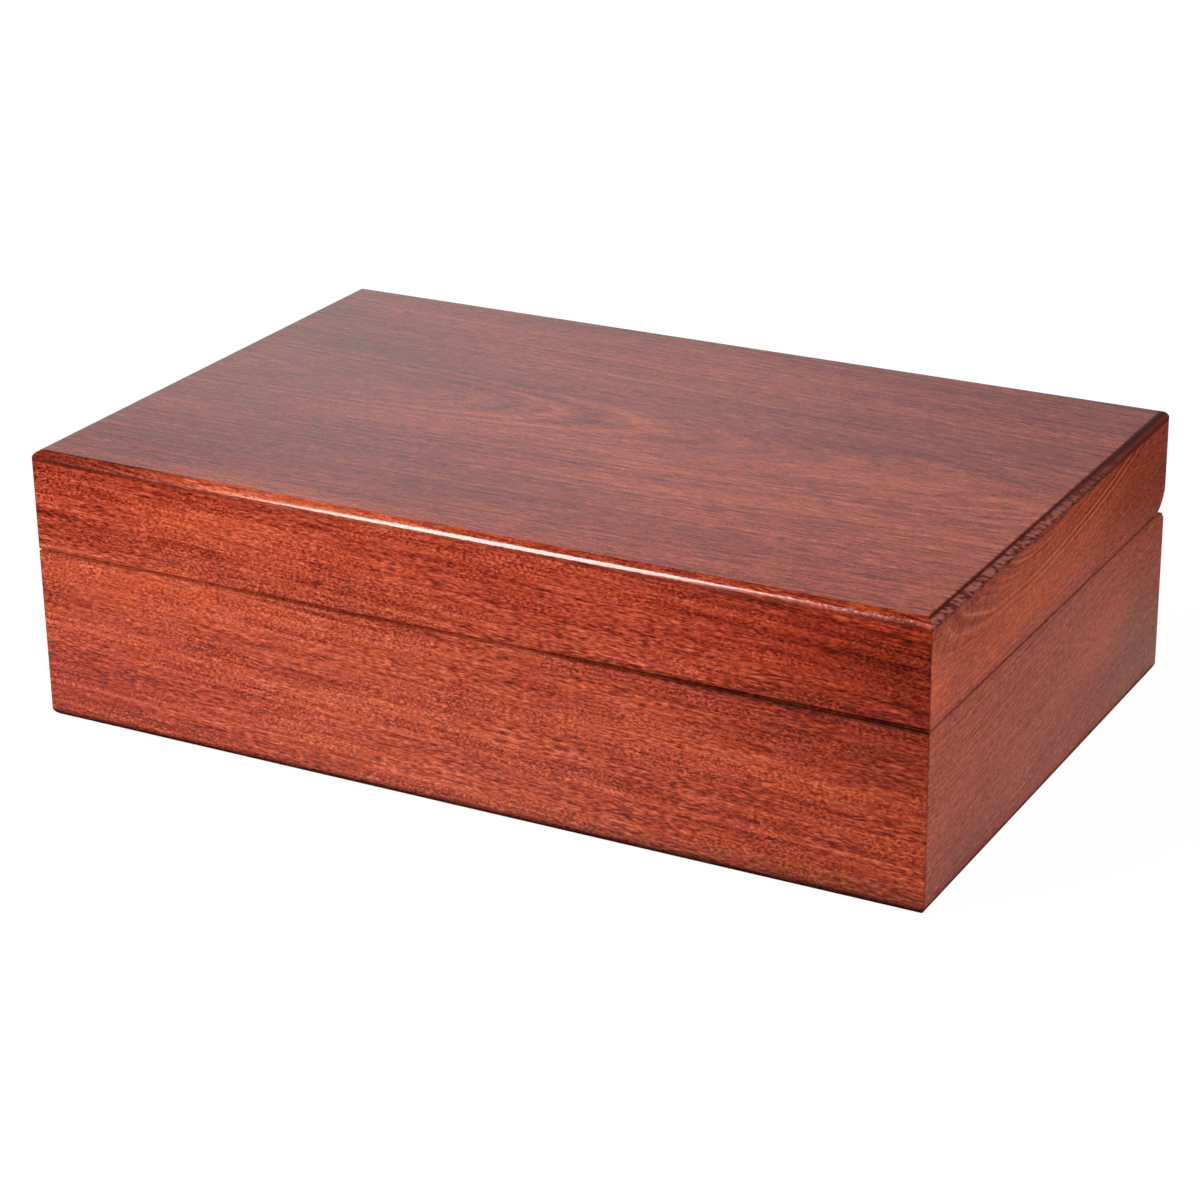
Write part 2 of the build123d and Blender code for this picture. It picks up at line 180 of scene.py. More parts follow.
def figure_tree(wood):
    """Node group with the colour and the relief of a stained board.

    Its place is in mm, with the grain along X and the heart of the tree on the X axis.
    """
    tree = bpy.data.node_groups.new("stained wood figure", "ShaderNodeTree")
    plan = tree.interface
    plan.new_socket("Place", in_out="INPUT", socket_type="NodeSocketVector")
    for name, default in (
        ("Rings", 0.4), ("Ring width", wood.ring_width / mm), ("Streaks", 0.5), ("Flecks", 1.0),
        ("Clouds", 0.4), ("Patches", 0.2), ("Tone", 0.5), ("Relief", 1.0),
    ):
        plan.new_socket(name, in_out="INPUT", socket_type="NodeSocketFloat").default_value = default
    plan.new_socket("Colour", in_out="OUTPUT", socket_type="NodeSocketColor")
    plan.new_socket("Relief", in_out="OUTPUT", socket_type="NodeSocketFloat")
    given = add_node(tree, "NodeGroupInput").outputs
    place = given["Place"]

    # The rings wander sideways along the trunk, within 5 mm, so that they don't run as ruled lines
    wander = 5.0
    drift = add_node(
        tree, "ShaderNodeTexNoise",
        {"Vector": scaled(tree, place, 95.0, 26.0), "Scale": 1.0, "Detail": 2.0},
    )
    sideways = add_node(
        tree, "ShaderNodeVectorMath",
        {0: drift.outputs["Color"], 1: (0.0, wander, wander), 2: (0.0, -wander / 2, -wander / 2)},
        operation="MULTIPLY_ADD",
    )
    bent = add_node(
        tree, "ShaderNodeVectorMath", {0: place, 1: sideways.outputs[0]}, operation="ADD"
    ).outputs[0]

    # Growth rings by the distance from the heart
    offset = add_node(tree, "ShaderNodeVectorMath", {0: bent, 1: (0.0, 1.0, 1.0)}, operation="MULTIPLY")
    radius = add_node(tree, "ShaderNodeVectorMath", {0: offset.outputs[0]}, operation="LENGTH")
    count = add_node(
        tree, "ShaderNodeMath", {0: radius.outputs["Value"], 1: given["Ring width"]}, operation="DIVIDE"
    )
    rings = add_node(
        tree, "ShaderNodeTexNoise", {"W": count.outputs[0], "Scale": 1.0, "Detail": 3.0, "Roughness": 0.55},
        noise_dimensions="1D",
    ).outputs[0]

    # The other features: mm along the grain and across it, a shift that keeps them apart, and detail
    fleck_length, fleck_width = wood.fleck_length / mm, wood.fleck_width / mm
    features = {}
    for name, where, along, across, shift, detail in (
        ("streaks", bent, wood.streak_length / mm, 0.75, 0.0, 2.0),
        ("short flecks", place, fleck_length * 0.85, fleck_width, 7.0, 2.0),
        ("long flecks", place, fleck_length * 1.8, fleck_width, 19.0, 2.0),
        ("curl", place, 42.0, 9.0, 3.0, 1.0),
        ("clouds", bent, 130.0, 11.0, 31.0, 2.0),
        ("hues", place, 14.0, 3.0, 83.0, 3.0),
        ("spots", place, 6.5, 1.4, 53.0, 2.0),
    ):
        features[name] = add_node(
            tree, "ShaderNodeTexNoise",
            {"Vector": scaled(tree, where, along, across, shift), "Scale": 1.0, "Detail": detail},
        ).outputs[0]

    # Flecks are long in straight grain and short in curly grain
    curly = add_node(
        tree, "ShaderNodeMapRange", {"Value": features["curl"], "From Min": 0.42, "From Max": 0.58},
        interpolation_type="SMOOTHSTEP",
    ).outputs[0]
    flecks = add_node(
        tree, "ShaderNodeMix",
        {"Factor": curly, "A": features["long flecks"], "B": features["short flecks"]},
        data_type="FLOAT",
    ).outputs[0]

    # The tone is the sum of them all, with clouds for its slow change over the board
    tone = given["Tone"]
    for layer, strength in (
        (rings, "Rings"), (features["streaks"], "Streaks"),
        (flecks, "Flecks"), (features["clouds"], "Clouds"),
    ):
        off_middle = add_node(tree, "ShaderNodeMath", {0: layer, 1: 0.5}, operation="SUBTRACT")
        tone = add_node(
            tree, "ShaderNodeMath", {0: off_middle.outputs[0], 1: given[strength], 2: tone},
            operation="MULTIPLY_ADD",
        ).outputs[0]
    ramp = add_node(tree, "ShaderNodeValToRGB", {"Fac": tone})
    colours = (
        (0.0, wood.pore), (0.28, wood.dark), (0.52, wood.body), (0.74, wood.light), (1.0, wood.bright),
    )
    stops = ramp.color_ramp.elements
    while len(stops) < len(colours):
        stops.new(0.5)
    for stop, (position, colour) in zip(stops, colours):
        stop.position = position
        stop.color = colour

    # The stain drifts between orange and rose
    orange = add_node(
        tree, "ShaderNodeMapRange",
        {"Value": features["hues"], "From Min": 0.42, "From Max": 0.62, "To Max": 0.55},
    ).outputs[0]
    warmed = add_node(
        tree, "ShaderNodeMix", {"Factor": orange, "A": ramp.outputs[0], "B": linear("#fff4b4")},
        data_type="RGBA", blend_type="MULTIPLY",
    ).outputs["Result"]

    # Small grey-brown patches, where the stain sank in deeper
    spotted = add_node(
        tree, "ShaderNodeMapRange",
        {"Value": features["spots"], "From Min": 0.6, "From Max": 0.78, "To Max": given["Patches"]},
        interpolation_type="SMOOTHSTEP",
    ).outputs[0]
    stained = add_node(
        tree, "ShaderNodeMix", {"Factor": spotted, "A": warmed, "B": linear("#5a2a1e")}, data_type="RGBA"
    )

    relief = add_node(tree, "ShaderNodeMath", {0: flecks, 1: given["Relief"]}, operation="MULTIPLY")
    add_node(tree, "NodeGroupOutput", {"Colour": stained.outputs["Result"], "Relief": relief.outputs[0]})
    return tree


def board_place(node_names, grain, heart, tilt, seed):
    """How a board was sawn from the trunk, as the rotation and location of a Mapping node.

    heart is where the middle of the tree lies from the board's centre, in mm, sideways and up.
    tilt turns the grain out of the board's own length, in degrees. seed shifts it along the trunk.
    """
    boxes = [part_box(name) for name in node_names]
    low = Vector([min(box[0][axis] for box in boxes) for axis in range(3)])
    high = Vector([max(box[1][axis] for box in boxes) for axis in range(3)])
    centre = (low + high) / 2 / mm
    to_grain = Matrix.Rotation(math.radians(-90 if grain == "Y" else 0), 3, "Z")
    turn = Euler((0, math.radians(tilt[1]), math.radians(tilt[0]))).to_matrix() @ to_grain
    location = Vector((seed * 1000.0, -heart[0], -heart[1])) - turn @ centre
    return turn.to_euler(), location


# The figure of the boards inside, which is plainer
INNER_FIGURE = {"Rings": 0.4, "Streaks": 0.5, "Flecks": 1.0, "Clouds": 0.4, "Patches": 0.2, "Tone": 0.49}

# The boards: CAD nodes, grain, heart, tilt, seed, and the strengths of the figure.
# A zone is a place where the tone differs, partly the wood's own and partly painted light and shade: its
# centre and reach in mm, what it adds to those strengths, how strong its fan of slanting strokes is, and
# the tint of its colour. Mitred boards show no end grain.
BOARDS = {
    "front": dict(
        mitred=True, nodes=["base_front_wall", "lid_front_rail"], grain="X",
        heart=(60, 95), tilt=(1.5, -1.8), seed=1.37,
        figure={"Rings": 0.4, "Streaks": 0.7, "Flecks": 1.75, "Clouds": 0.5, "Patches": 0.5, "Tone": 0.49},
        zones=[
            dict(at=(0, -108, 88), reach=(420, 60, 25), tint="#fff2f4"),
            dict(at=(-150, -108, 22), reach=(120, 60, 40), tint="#ffeef2"),
            # Partly painted shade, partly darker wood: the front darkens to its right end, where the light
            # falls off
            dict(
                at=(190, -108, 88), reach=(170, 60, 34), add={"Tone": -0.04, "Rings": 0.5},
                tint="#d4b090",
            ),
            dict(at=(174, -108, 83), reach=(52, 60, 16), add={"Rings": 0.3}, tint="#dcd8d4"),
            dict(at=(178, -108, 56), reach=(115, 60, 28), add={"Tone": -0.08}, tint="#d8c6c2"),
            dict(at=(190, -108, 25), reach=(130, 60, 40), add={"Tone": -0.02}, tint="#f2ead8"),
            dict(at=(-92, -108, 97), reach=(75, 60, 12), add={"Tone": -0.12}),
            dict(at=(-95, -108, 85), reach=(50, 60, 9), add={"Tone": 0.12}),
            dict(at=(-115, -108, 58), reach=(85, 60, 13), add={"Tone": 0.17}, tint="#ffeeec"),
            dict(at=(-120, -108, 31), reach=(130, 60, 16), add={"Tone": -0.05}),
            dict(at=(95, -108, 66), reach=(75, 60, 9), add={"Tone": -0.16}),
            dict(at=(115, -108, 88), reach=(70, 60, 14), add={"Tone": -0.07}),
            dict(at=(-130, -108, 73), reach=(80, 60, 9), add={"Tone": -0.08}),
            dict(at=(5, -108, 74), reach=(65, 60, 9), add={"Tone": -0.1}),
            dict(at=(130, -108, 73), reach=(80, 60, 9), add={"Tone": 0.07}),
            dict(at=(75, -108, 95), reach=(60, 60, 10), add={"Tone": -0.03}),
            dict(at=(150, -108, 0), reach=(250, 60, 13), add={"Tone": -0.02}, tint="#ccd4d8"),
        ],
    ),
    "back": dict(
        mitred=True, nodes=["base_back_wall", "lid_back_rail"], grain="X",
        heart=(-40, 120), tilt=(-1.0, 1.6), seed=2.11,
        figure={"Rings": 0.4, "Streaks": 0.6, "Flecks": 1.4, "Clouds": 0.4, "Patches": 0.4, "Tone": 0.5},
    ),
    "left": dict(
        mitred=True, nodes=["base_left_wall", "lid_left_rail"], grain="Y",
        heart=(30, -80), tilt=(2.0, -2.0), seed=3.73,
        figure={"Rings": 0.45, "Streaks": 0.5, "Flecks": 1.2, "Clouds": 0.4, "Patches": 0.4, "Tone": 0.5},
    ),
    "right": dict(
        mitred=True, nodes=["base_right_wall", "lid_right_rail"], grain="Y",
        heart=(-4.6, 55), tilt=(10.5, 5.0), seed=4.59,
        figure={
            "Rings": 0.42, "Ring width": 1.25, "Streaks": 0.7, "Flecks": 0.9, "Clouds": 0.3,
            "Patches": 0.2, "Tone": 0.53,
        },
        zones=[
            dict(
                at=(170, -80, 92), reach=(60, 48, 18), add={"Tone": 0.06, "Rings": 0.3},
                fan=0.22, tint="#e8e4ec",
            ),
            dict(at=(170, 15, 97), reach=(60, 105, 20), add={"Rings": 1.2}, tint="#f0dcb4"),
            dict(at=(170, -30, 77), reach=(60, 110, 15), add={"Tone": 0.1}, tint="#ffecc8"),
            dict(at=(170, -106, 75), reach=(60, 22, 18), add={"Tone": 0.18}, tint="#fff0e4"),
            dict(at=(170, 100, 84), reach=(60, 70, 28), tint="#dcc8ac"),
            dict(at=(170, 35, 40), reach=(60, 60, 24), add={"Tone": 0.07}),
            dict(at=(170, -40, 88), reach=(60, 240, 11), add={"Tone": 0.1}),
            dict(at=(170, 105, 15), reach=(60, 75, 40), add={"Tone": 0.06}, tint="#dcffff"),
            # Painted shade: the right face darkens towards its foot at the front
            dict(at=(170, -85, 2), reach=(60, 80, 18), tint="#e6eaec"),
        ],
    ),
    "top": dict(
        nodes=["lid_top_panel"], grain="X", heart=(8, -26), tilt=(0.5, -5.7), seed=5.21,
        figure={
            "Rings": 0.64, "Streaks": 1.05, "Flecks": 1.1, "Clouds": 0.5, "Patches": 0.12,
            "Tone": 0.45, "Relief": 1.0,
        },
        zones=[
            # Partly the wood's tone and partly painted shade: grey tints that darken the top in broad
            # patches
            dict(at=(-150, 20, 101), reach=(135, 150, 60), tint="#d0d0d0"),
            dict(at=(0, 112, 101), reach=(260, 45, 60), tint="#e4e4e4"),
            dict(at=(165, 100, 101), reach=(70, 35, 60), tint="#e4e4e4"),
            dict(at=(-60, -70, 101), reach=(140, 42, 60), tint="#dcdcdc"),
            dict(at=(-165, -100, 101), reach=(75, 40, 60), tint="#e0dcdc"),
            dict(at=(70, 40, 101), reach=(190, 42, 60), tint="#e0e0e0"),
            dict(at=(-10, -4, 101), reach=(260, 34, 60), add={"Tone": 0.07}),
            dict(at=(-120, 98, 101), reach=(85, 45, 60), add={"Tone": 0.12}),
            dict(at=(-122, -28, 101), reach=(55, 28, 60), add={"Tone": 0.08}),
            dict(at=(20, 50, 101), reach=(75, 42, 60), add={"Tone": 0.09}),
            dict(at=(45, -56, 101), reach=(75, 28, 60), add={"Tone": 0.09}),
            dict(at=(150, -20, 101), reach=(110, 50, 60), add={"Tone": 0.08}),
            # Painted light: the upper part of the front edge's round is lighter, where the softbox falls on
            # it. The zone after it makes the left end of that round darker.
            dict(at=(-45, -110, 101), reach=(105, 10, 60), add={"Tone": 0.22}),
            dict(at=(-168, -110, 101), reach=(60, 9, 60), add={"Tone": -0.12}),
            dict(at=(0, -110, 101), reach=(400, 8, 60), add={"Flecks": 0.3}),
            dict(at=(165, -110, 101), reach=(75, 8, 60), add={"Relief": 6.0}),
        ],
    ),
    "bottom": dict(
        nodes=["base_bottom_panel"], grain="X", heart=(10, -60), tilt=(0.5, 2.0), seed=6.83,
        figure={**INNER_FIGURE, "Tone": 0.48},
    ),
    "long_divider": dict(
        nodes=["long_divider"], grain="X", heart=(25, -70), tilt=(1.0, 2.0), seed=7.39,
        figure=INNER_FIGURE,
    ),
    "cross_dividers": dict(
        nodes=["cross_divider_left", "cross_divider_middle", "cross_divider_right"],
        grain="Y", heart=(35, -60), tilt=(2.0, 1.0), seed=8.17,
        figure=INNER_FIGURE,
    ),
}


def strokes(tree, spot, slope, length, width):
    """Short strokes on the upright faces at the ends, rising to the back by a slope in degrees."""
    turned = add_node(
        tree, "ShaderNodeMapping",
        {"Vector": spot, "Rotation": (math.radians(slope), 0.0, 0.0), "Scale": (length, length, width)},
        vector_type="TEXTURE",
    )
    noise = add_node(tree, "ShaderNodeTexNoise", {"Vector": turned.outputs[0], "Scale": 1.0, "Detail": 1.0})
    return noise.outputs[0]


def stain_layers(tree, spot, wood, grain):
    """Layers of stain and of painted shade: the colour of each, how much of it, and its fades.

    A fade is a value, where the layer is full and where nothing is left of it. grain is the axis whose
    ends show end grain, or nothing for a mitred board.
    """
    at = add_node(tree, "ShaderNodeSeparateXYZ", {0: spot["Object"]}).outputs
    facing = add_node(tree, "ShaderNodeSeparateXYZ", {0: spot["Normal"]}).outputs
    away, turned = [
        add_node(
            tree, "ShaderNodeSeparateXYZ",
            {0: add_node(tree, "ShaderNodeVectorMath", {0: spot[name]}, operation="ABSOLUTE").outputs[0]},
        ).outputs
        for name in ("Object", "Normal")
    ]
    half_length, half_depth = cad_box[1].x, cad_box[1].y
    seam = (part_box("base_front_wall")[1].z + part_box("lid_front_rail")[0].z) / 2
    # The stain of the joint is deepest where the round of the top board's edge begins
    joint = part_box("lid_front_rail")[1].z + 0.4 * mm
    upright = (turned["Z"], 0.9, 0.97)

    def line(level, full, none):
        """The two fades of a level line, above it and below it."""
        return (at["Z"], level + full, level + none), (at["Z"], level - full, level - none)

    layers = [
        # The seam and the joint under the top board. The seam's line is partly a dark joint and partly
        # painted shade of its gap, darkest at the right end of the front, on the lid's eased edge
        (wood.stain_and_shade_line, 0.1, upright, *line(seam, 1.2 * mm, 2.6 * mm)),
        (wood.stain_and_shade_line, 0.45, upright, *line(seam - 0.2 * mm, 0.35 * mm, 0.5 * mm)),
        (
            wood.stain_and_shade_line, 1.0, (at["X"], 160 * mm, 10 * mm), (facing["Y"], -0.5, -0.3),
            *line(seam, 0.4 * mm, 1.6 * mm),
        ),
        (wood.pore, 0.5, upright, *line(joint, 0.4 * mm, 0.9 * mm)),
        # Painted shade on the foot's round, which faces the floor, and dark joints at the upright corners
        (wood.stain_and_shade_line, 0.82, (at["Z"], 2.1 * mm, 4.4 * mm)),
        (
            wood.stain_and_shade_line, 0.35, (away["X"], half_length - 0.2 * mm, half_length - 0.7 * mm),
            (away["Y"], half_depth - 0.2 * mm, half_depth - 0.7 * mm),
        ),
    ]
    if grain:
        # End grain: a dark line first, which widens to the back, and then slanting pale strokes 4.5 by
        # 0.8 mm, fewer at the back
        stroke = strokes(tree, spot["Object"], -25, 4.5 * mm, 0.8 * mm)
        full = (turned[grain], 0.62, 0.45)
        layers = [
            (wood.pore, 0.95, (turned[grain], 0.3, 0.12)),
            (wood.end_grain, 1.0, full),
            (wood.dark, 0.35, full, (at["Y"], 80 * mm, 10 * mm)),
            (wood.end_fleck, 1.0, full, (stroke, 0.58, 0.37), (at["Y"], -10 * mm, 70 * mm)),
            (
                wood.pore, 0.9, (turned[grain], 0.3, 0.12), (turned[grain], 0.68, 0.86),
                (at["Y"], 70 * mm, -20 * mm),
            ),
            *layers,
        ]
    return layers


def lacquered_board(key, wood, figure):
    """Close-grained hardwood, stained red-brown and sprayed with a satin lacquer.

    The stain colours the flecks unevenly, and the clear coat over it veils the wood where it is seen at
    a low angle. End grain drinks more stain. A dark line runs along the eased edges: dark joints at the
    corners, and painted shade in the seam and on the foot. Zones add the wood's own differences to the
    tone, and some painted light and shade.
    """
    board = BOARDS[key]
    rotation, location = board_place(
        board["nodes"], board["grain"], board["heart"], board["tilt"], board["seed"]
    )
    material = bpy.data.materials.new("lacquered_hardwood_" + key)
    material.use_nodes = True
    tree = material.node_tree
    tree.nodes.clear()
    spot = add_node(tree, "ShaderNodeTexCoord").outputs
    place = add_node(
        tree, "ShaderNodeMapping",
        {"Vector": spot["Object"], "Location": location, "Rotation": rotation, "Scale": [1 / mm] * 3},
    )
    strengths = dict(board["figure"])
    tints = []

    # Zones where the tone differs: the wood's own, and painted light and shade
    for zone in board.get("zones", ()):
        reach = zone["reach"]
        off_centre = add_node(
            tree, "ShaderNodeVectorMath",
            {
                0: spot["Object"],
                1: [1 / (r * mm) for r in reach],
                2: [-c / r for c, r in zip(zone["at"], reach)],
            },
            operation="MULTIPLY_ADD",
        )
        distance = add_node(tree, "ShaderNodeVectorMath", {0: off_centre.outputs[0]}, operation="LENGTH")
        share = add_node(
            tree, "ShaderNodeMapRange",
            {"Value": distance.outputs["Value"], "From Min": 1.0, "From Max": 0.2},
            interpolation_type="SMOOTHSTEP",
        ).outputs[0]
        changes = dict(zone.get("add", {}))
        if "fan" in zone:
            # Steeper strokes than those of the end grain, 13 by 1.1 mm
            stroke = strokes(tree, spot["Object"], 52, 13 * mm, 1.1 * mm)
            changes["Tone"] = add_node(
                tree, "ShaderNodeMapRange",
                {
                    "Value": stroke, "From Min": 0.38, "From Max": 0.62,
                    "To Min": -zone["fan"] / 2, "To Max": zone["fan"] / 2,
                },
            ).outputs[0]
        for name, change in changes.items():
            strengths[name] = add_node(
                tree, "ShaderNodeMath", {0: share, 1: change, 2: strengths[name]},
                operation="MULTIPLY_ADD",
            ).outputs[0]
        if "tint" in zone:
            tints.append((share, linear(zone["tint"])))
    wood_figure = add_node(
        tree, "ShaderNodeGroup", {"Place": place.outputs[0], **strengths}, node_tree=figure
    )
    colour = wood_figure.outputs["Colour"]
    for share, tint in tints:
        colour = add_node(
            tree, "ShaderNodeMix", {"Factor": share, "A": colour, "B": tint},
            data_type="RGBA", blend_type="MULTIPLY",
        ).outputs["Result"]

    # Each fade takes its share of what the one before it left
    grain = None if board.get("mitred") else board["grain"]
    for stain, share, *fades in stain_layers(tree, spot, wood, grain):
        for value, full, none in fades:
            share = add_node(
                tree, "ShaderNodeMapRange",
                {"Value": value, "From Min": none, "From Max": full, "To Max": share},
            ).outputs[0]
        colour = add_node(
            tree, "ShaderNodeMix", {"Factor": share, "A": colour, "B": stain}, data_type="RGBA"
        ).outputs["Result"]

    # Height of the relief: pores too shallow to see but deep enough to break up a highlight
    bumps = add_node(
        tree, "ShaderNodeBump",
        {"Height": wood_figure.outputs["Relief"], "Strength": 0.4, "Distance": 0.05 * mm},
    )
    surface = add_node(
        tree, "ShaderNodeBsdfPrincipled",
        {
            "Base Color": colour,
            "Roughness": 0.5,
            "Specular IOR Level": 0.0,
            "Coat Weight": 1.0,
            "Coat Roughness": wood.lacquer_roughness,
            "Coat IOR": 1.5,
            "Normal": bumps.outputs[0],
            "Coat Normal": bumps.outputs[0],
        },
    )
    add_node(tree, "ShaderNodeOutputMaterial", {"Surface": surface.outputs[0]})
    return material


def dress(node_names, material):
    """Give CAD nodes a material in place of the plain one that they were packed with."""
    for name in node_names:
        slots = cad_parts[name].material_slots
        for slot in slots:
            slot.material = material


def shared_figure(wood):
    """The figure's node group, made once for all boards."""
    return bpy.data.node_groups.get("stained wood figure") or figure_tree(wood)


class TEACHEST_OT_case(bpy.types.Operator):
    """Stain and lacquer the walls, the lid and the bottom panel"""

    bl_idname = "teachest.case"
    bl_label = "Finish the case and lid"

    def execute(self, context):
        wood = context.scene.teachest_wood
        for key in ("front", "back", "left", "right", "top", "bottom"):
            dress(BOARDS[key]["nodes"], lacquered_board(key, wood, shared_figure(wood)))
        return {"FINISHED"}


class TEACHEST_OT_dividers(bpy.types.Operator):
    """Stain and lacquer the grid of dividers"""

    bl_idname = "teachest.dividers"
    bl_label = "Finish the dividers"

    def execute(self, context):
        wood = context.scene.teachest_wood
        for key in ("long_divider", "cross_dividers"):
            dress(BOARDS[key]["nodes"], lacquered_board(key, wood, shared_figure(wood)))
        return {"FINISHED"}


def polished_brass(name, brass):
    """Brass, stamped from sheet or turned from rod and then polished.

    It mirrors the room warmly, with faint polishing lines, and darkens a little where fingers and
    polish don't reach. The lines are drawn wider apart than real ones, so that they show.
    """
    cloud_size = 2.5 * mm
    line_length, line_spacing = 6.0 * mm, 0.12 * mm
    material = bpy.data.materials.new(name)
    material.use_nodes = True
    tree = material.node_tree
    tree.nodes.clear()
    spot = add_node(tree, "ShaderNodeTexCoord").outputs["Object"]

    # Cloudy tarnish
    cloud = add_node(tree, "ShaderNodeTexNoise", {"Vector": spot, "Scale": 1 / cloud_size, "Detail": 3.0})
    worn = add_node(
        tree, "ShaderNodeMapRange",
        {"Value": cloud.outputs[0], "From Min": 0.45, "From Max": 0.75, "To Max": 0.5},
    )
    colour = add_node(
        tree, "ShaderNodeMix", {"Factor": worn.outputs[0], "A": brass.brass, "B": brass.tarnish},
        data_type="RGBA",
    )

    # Polishing lines along the hinge
    stretched = add_node(
        tree, "ShaderNodeMapping",
        {"Vector": spot, "Scale": (1 / line_length, 1 / line_spacing, 1 / line_spacing)},
    )
    lines = add_node(
        tree, "ShaderNodeTexNoise", {"Vector": stretched.outputs[0], "Scale": 1.0, "Detail": 1.0}
    )
    dull = add_node(
        tree, "ShaderNodeMapRange", {"Value": lines.outputs[0], "To Min": 0.18, "To Max": 0.42}
    )
    bump = add_node(
        tree, "ShaderNodeBump", {"Height": lines.outputs[0], "Strength": 0.2, "Distance": 0.01 * mm}
    )
    surface = add_node(
        tree, "ShaderNodeBsdfPrincipled",
        {
            "Base Color": colour.outputs["Result"],
            "Metallic": 1.0,
            "Roughness": dull.outputs[0],
            "Normal": bump.outputs[0],
        },
    )
    add_node(tree, "ShaderNodeOutputMaterial", {"Surface": surface.outputs[0]})
    return material


HINGE_NODES = [
    side + part for side in ("left_hinge_", "right_hinge_") for part in ("base_leaf", "lid_leaf", "pin")
]


class TEACHEST_OT_hinges(bpy.types.Operator):
    """Polish the leaves and pins of the two butt hinges"""

    bl_idname = "teachest.hinges"
    bl_label = "Finish the hinges"

    def execute(self, context):
        dress(HINGE_NODES, polished_brass("stamped_brass", context.scene.teachest_brass))
        return {"FINISHED"}


# The sizes of a screw that come from the sidebar's settings of the same names
SCREW_SIZES = (
    "Head radius", "Shank radius", "Screw length", "Tip length", "Thread pitch", "Thread depth",
    "Slot width", "Slot depth", "Screw spacing",
)


def screw_tree():
    """Geometry Nodes tree of the countersunk screws: one turned screw, in pairs, on every hinge."""
    tree = bpy.data.node_groups.new("countersunk screws", "GeometryNodeTree")
    plan = tree.interface
    plan.new_socket("Geometry", in_out="OUTPUT", socket_type="NodeSocketGeometry")
    for name in (*SCREW_SIZES, "Hinge spacing"):
        plan.new_socket(name, in_out="INPUT", socket_type="NodeSocketFloat")
    plan.new_socket("Sides", in_out="INPUT", socket_type="NodeSocketInt")
    plan.new_socket("Seat", in_out="INPUT", socket_type="NodeSocketVector")
    plan.new_socket("Turn", in_out="INPUT", socket_type="NodeSocketRotation")
    plan.new_socket("Material", in_out="INPUT", socket_type="NodeSocketMaterial")
    given = add_node(tree, "NodeGroupInput").outputs

    # A sheet of rings by sides, rolled into a screw: the first ring is the middle of the head's face.
    # Each value is worked out from the ones before it
    rings = 96
    first = 1 / (rings + 1)
    where = add_node(
        tree, "ShaderNodeSeparateXYZ", {0: add_node(tree, "GeometryNodeInputPosition").outputs[0]}
    ).outputs
    known = {"x": where["X"], "y": where["Y"], **{socket.name: socket for socket in given if socket.name}}
    for name, operation, *values in (
        ("all sides", "ADD", "Sides", 1),
        ("along", "ADD", "x", 0.5),
        ("around", "ADD", "y", 0.5),
        ("past the first", "SUBTRACT", "along", first),
        ("share", "DIVIDE", "past the first", 1 - first),
        ("share down", "MAXIMUM", "share", 0.0),
        ("depth", "MULTIPLY", "share down", "Screw length"),
        ("cone", "SUBTRACT", "Head radius", "depth"),
        ("head", "MAXIMUM", "cone", "Shank radius"),
        ("to the point", "SUBTRACT", "Screw length", "depth"),
        ("share of tip", "DIVIDE", "to the point", "Tip length"),
        ("tip", "MULTIPLY", "share of tip", "Shank radius"),
        ("outside", "MINIMUM", "head", "tip"),
        ("pitches", "DIVIDE", "depth", "Thread pitch"),
        ("turns", "SUBTRACT", "pitches", "around"),
        ("groove", "PINGPONG", "turns", 0.5),
        ("share cut", "MULTIPLY", "groove", 2.0),
        ("cut", "MULTIPLY", "share cut", "Thread depth"),
        ("neck", "MULTIPLY", "Head radius", 0.75),
        ("below the head", "GREATER_THAN", "depth", "neck"),
        ("thread", "MULTIPLY", "cut", "below the head"),
        ("threaded", "SUBTRACT", "outside", "thread"),
        ("not inside out", "MAXIMUM", "threaded", 0.0),
        ("not the middle", "GREATER_THAN", "along", first / 2),
        ("radius", "MULTIPLY", "not inside out", "not the middle"),
        ("angle", "MULTIPLY", "around", 2 * math.pi),
        ("cosine", "COSINE", "angle"),
        ("sine", "SINE", "angle"),
        ("rolled x", "MULTIPLY", "radius", "cosine"),
        ("rolled y", "MULTIPLY", "radius", "sine"),
        ("rolled z", "MULTIPLY", "depth", -1.0),
        ("slot length", "MULTIPLY", "Head radius", 2.4),
        ("slot height", "MULTIPLY", "Slot depth", 2.0),
    ):
        inputs = {i: known[v] if isinstance(v, str) else v for i, v in enumerate(values)}
        known[name] = add_node(tree, "ShaderNodeMath", inputs, operation=operation).outputs[0]
    sheet = add_node(
        tree, "GeometryNodeMeshGrid",
        {"Size X": 1.0, "Size Y": 1.0, "Vertices X": rings + 2, "Vertices Y": known["all sides"]},
    )
    rolled = add_node(
        tree, "ShaderNodeCombineXYZ",
        {"X": known["rolled x"], "Y": known["rolled y"], "Z": known["rolled z"]},
    )
    shaped = add_node(
        tree, "GeometryNodeSetPosition", {"Geometry": sheet.outputs["Mesh"], "Position": rolled.outputs[0]}
    )
    closed = add_node(
        tree, "GeometryNodeMergeByDistance", {"Geometry": shaped.outputs[0], "Distance": 0.001 * mm}
    )

    # The driver slot is milled across the head
    slot_size = add_node(
        tree, "ShaderNodeCombineXYZ",
        {"X": known["slot length"], "Y": given["Slot width"], "Z": known["slot height"]},
    )
    cutter = add_node(tree, "GeometryNodeMeshCube", {"Size": slot_size.outputs[0]})
    slotted = add_node(
        tree, "GeometryNodeMeshBoolean", {"Mesh 1": closed.outputs[0], "Mesh 2": cutter.outputs["Mesh"]},
        operation="DIFFERENCE", solver="EXACT",
    )
    turned = add_node(
        tree, "GeometryNodeTransform",
        {"Geometry": slotted.outputs["Mesh"], "Translation": given["Seat"], "Rotation": given["Turn"]},
    ).outputs[0]

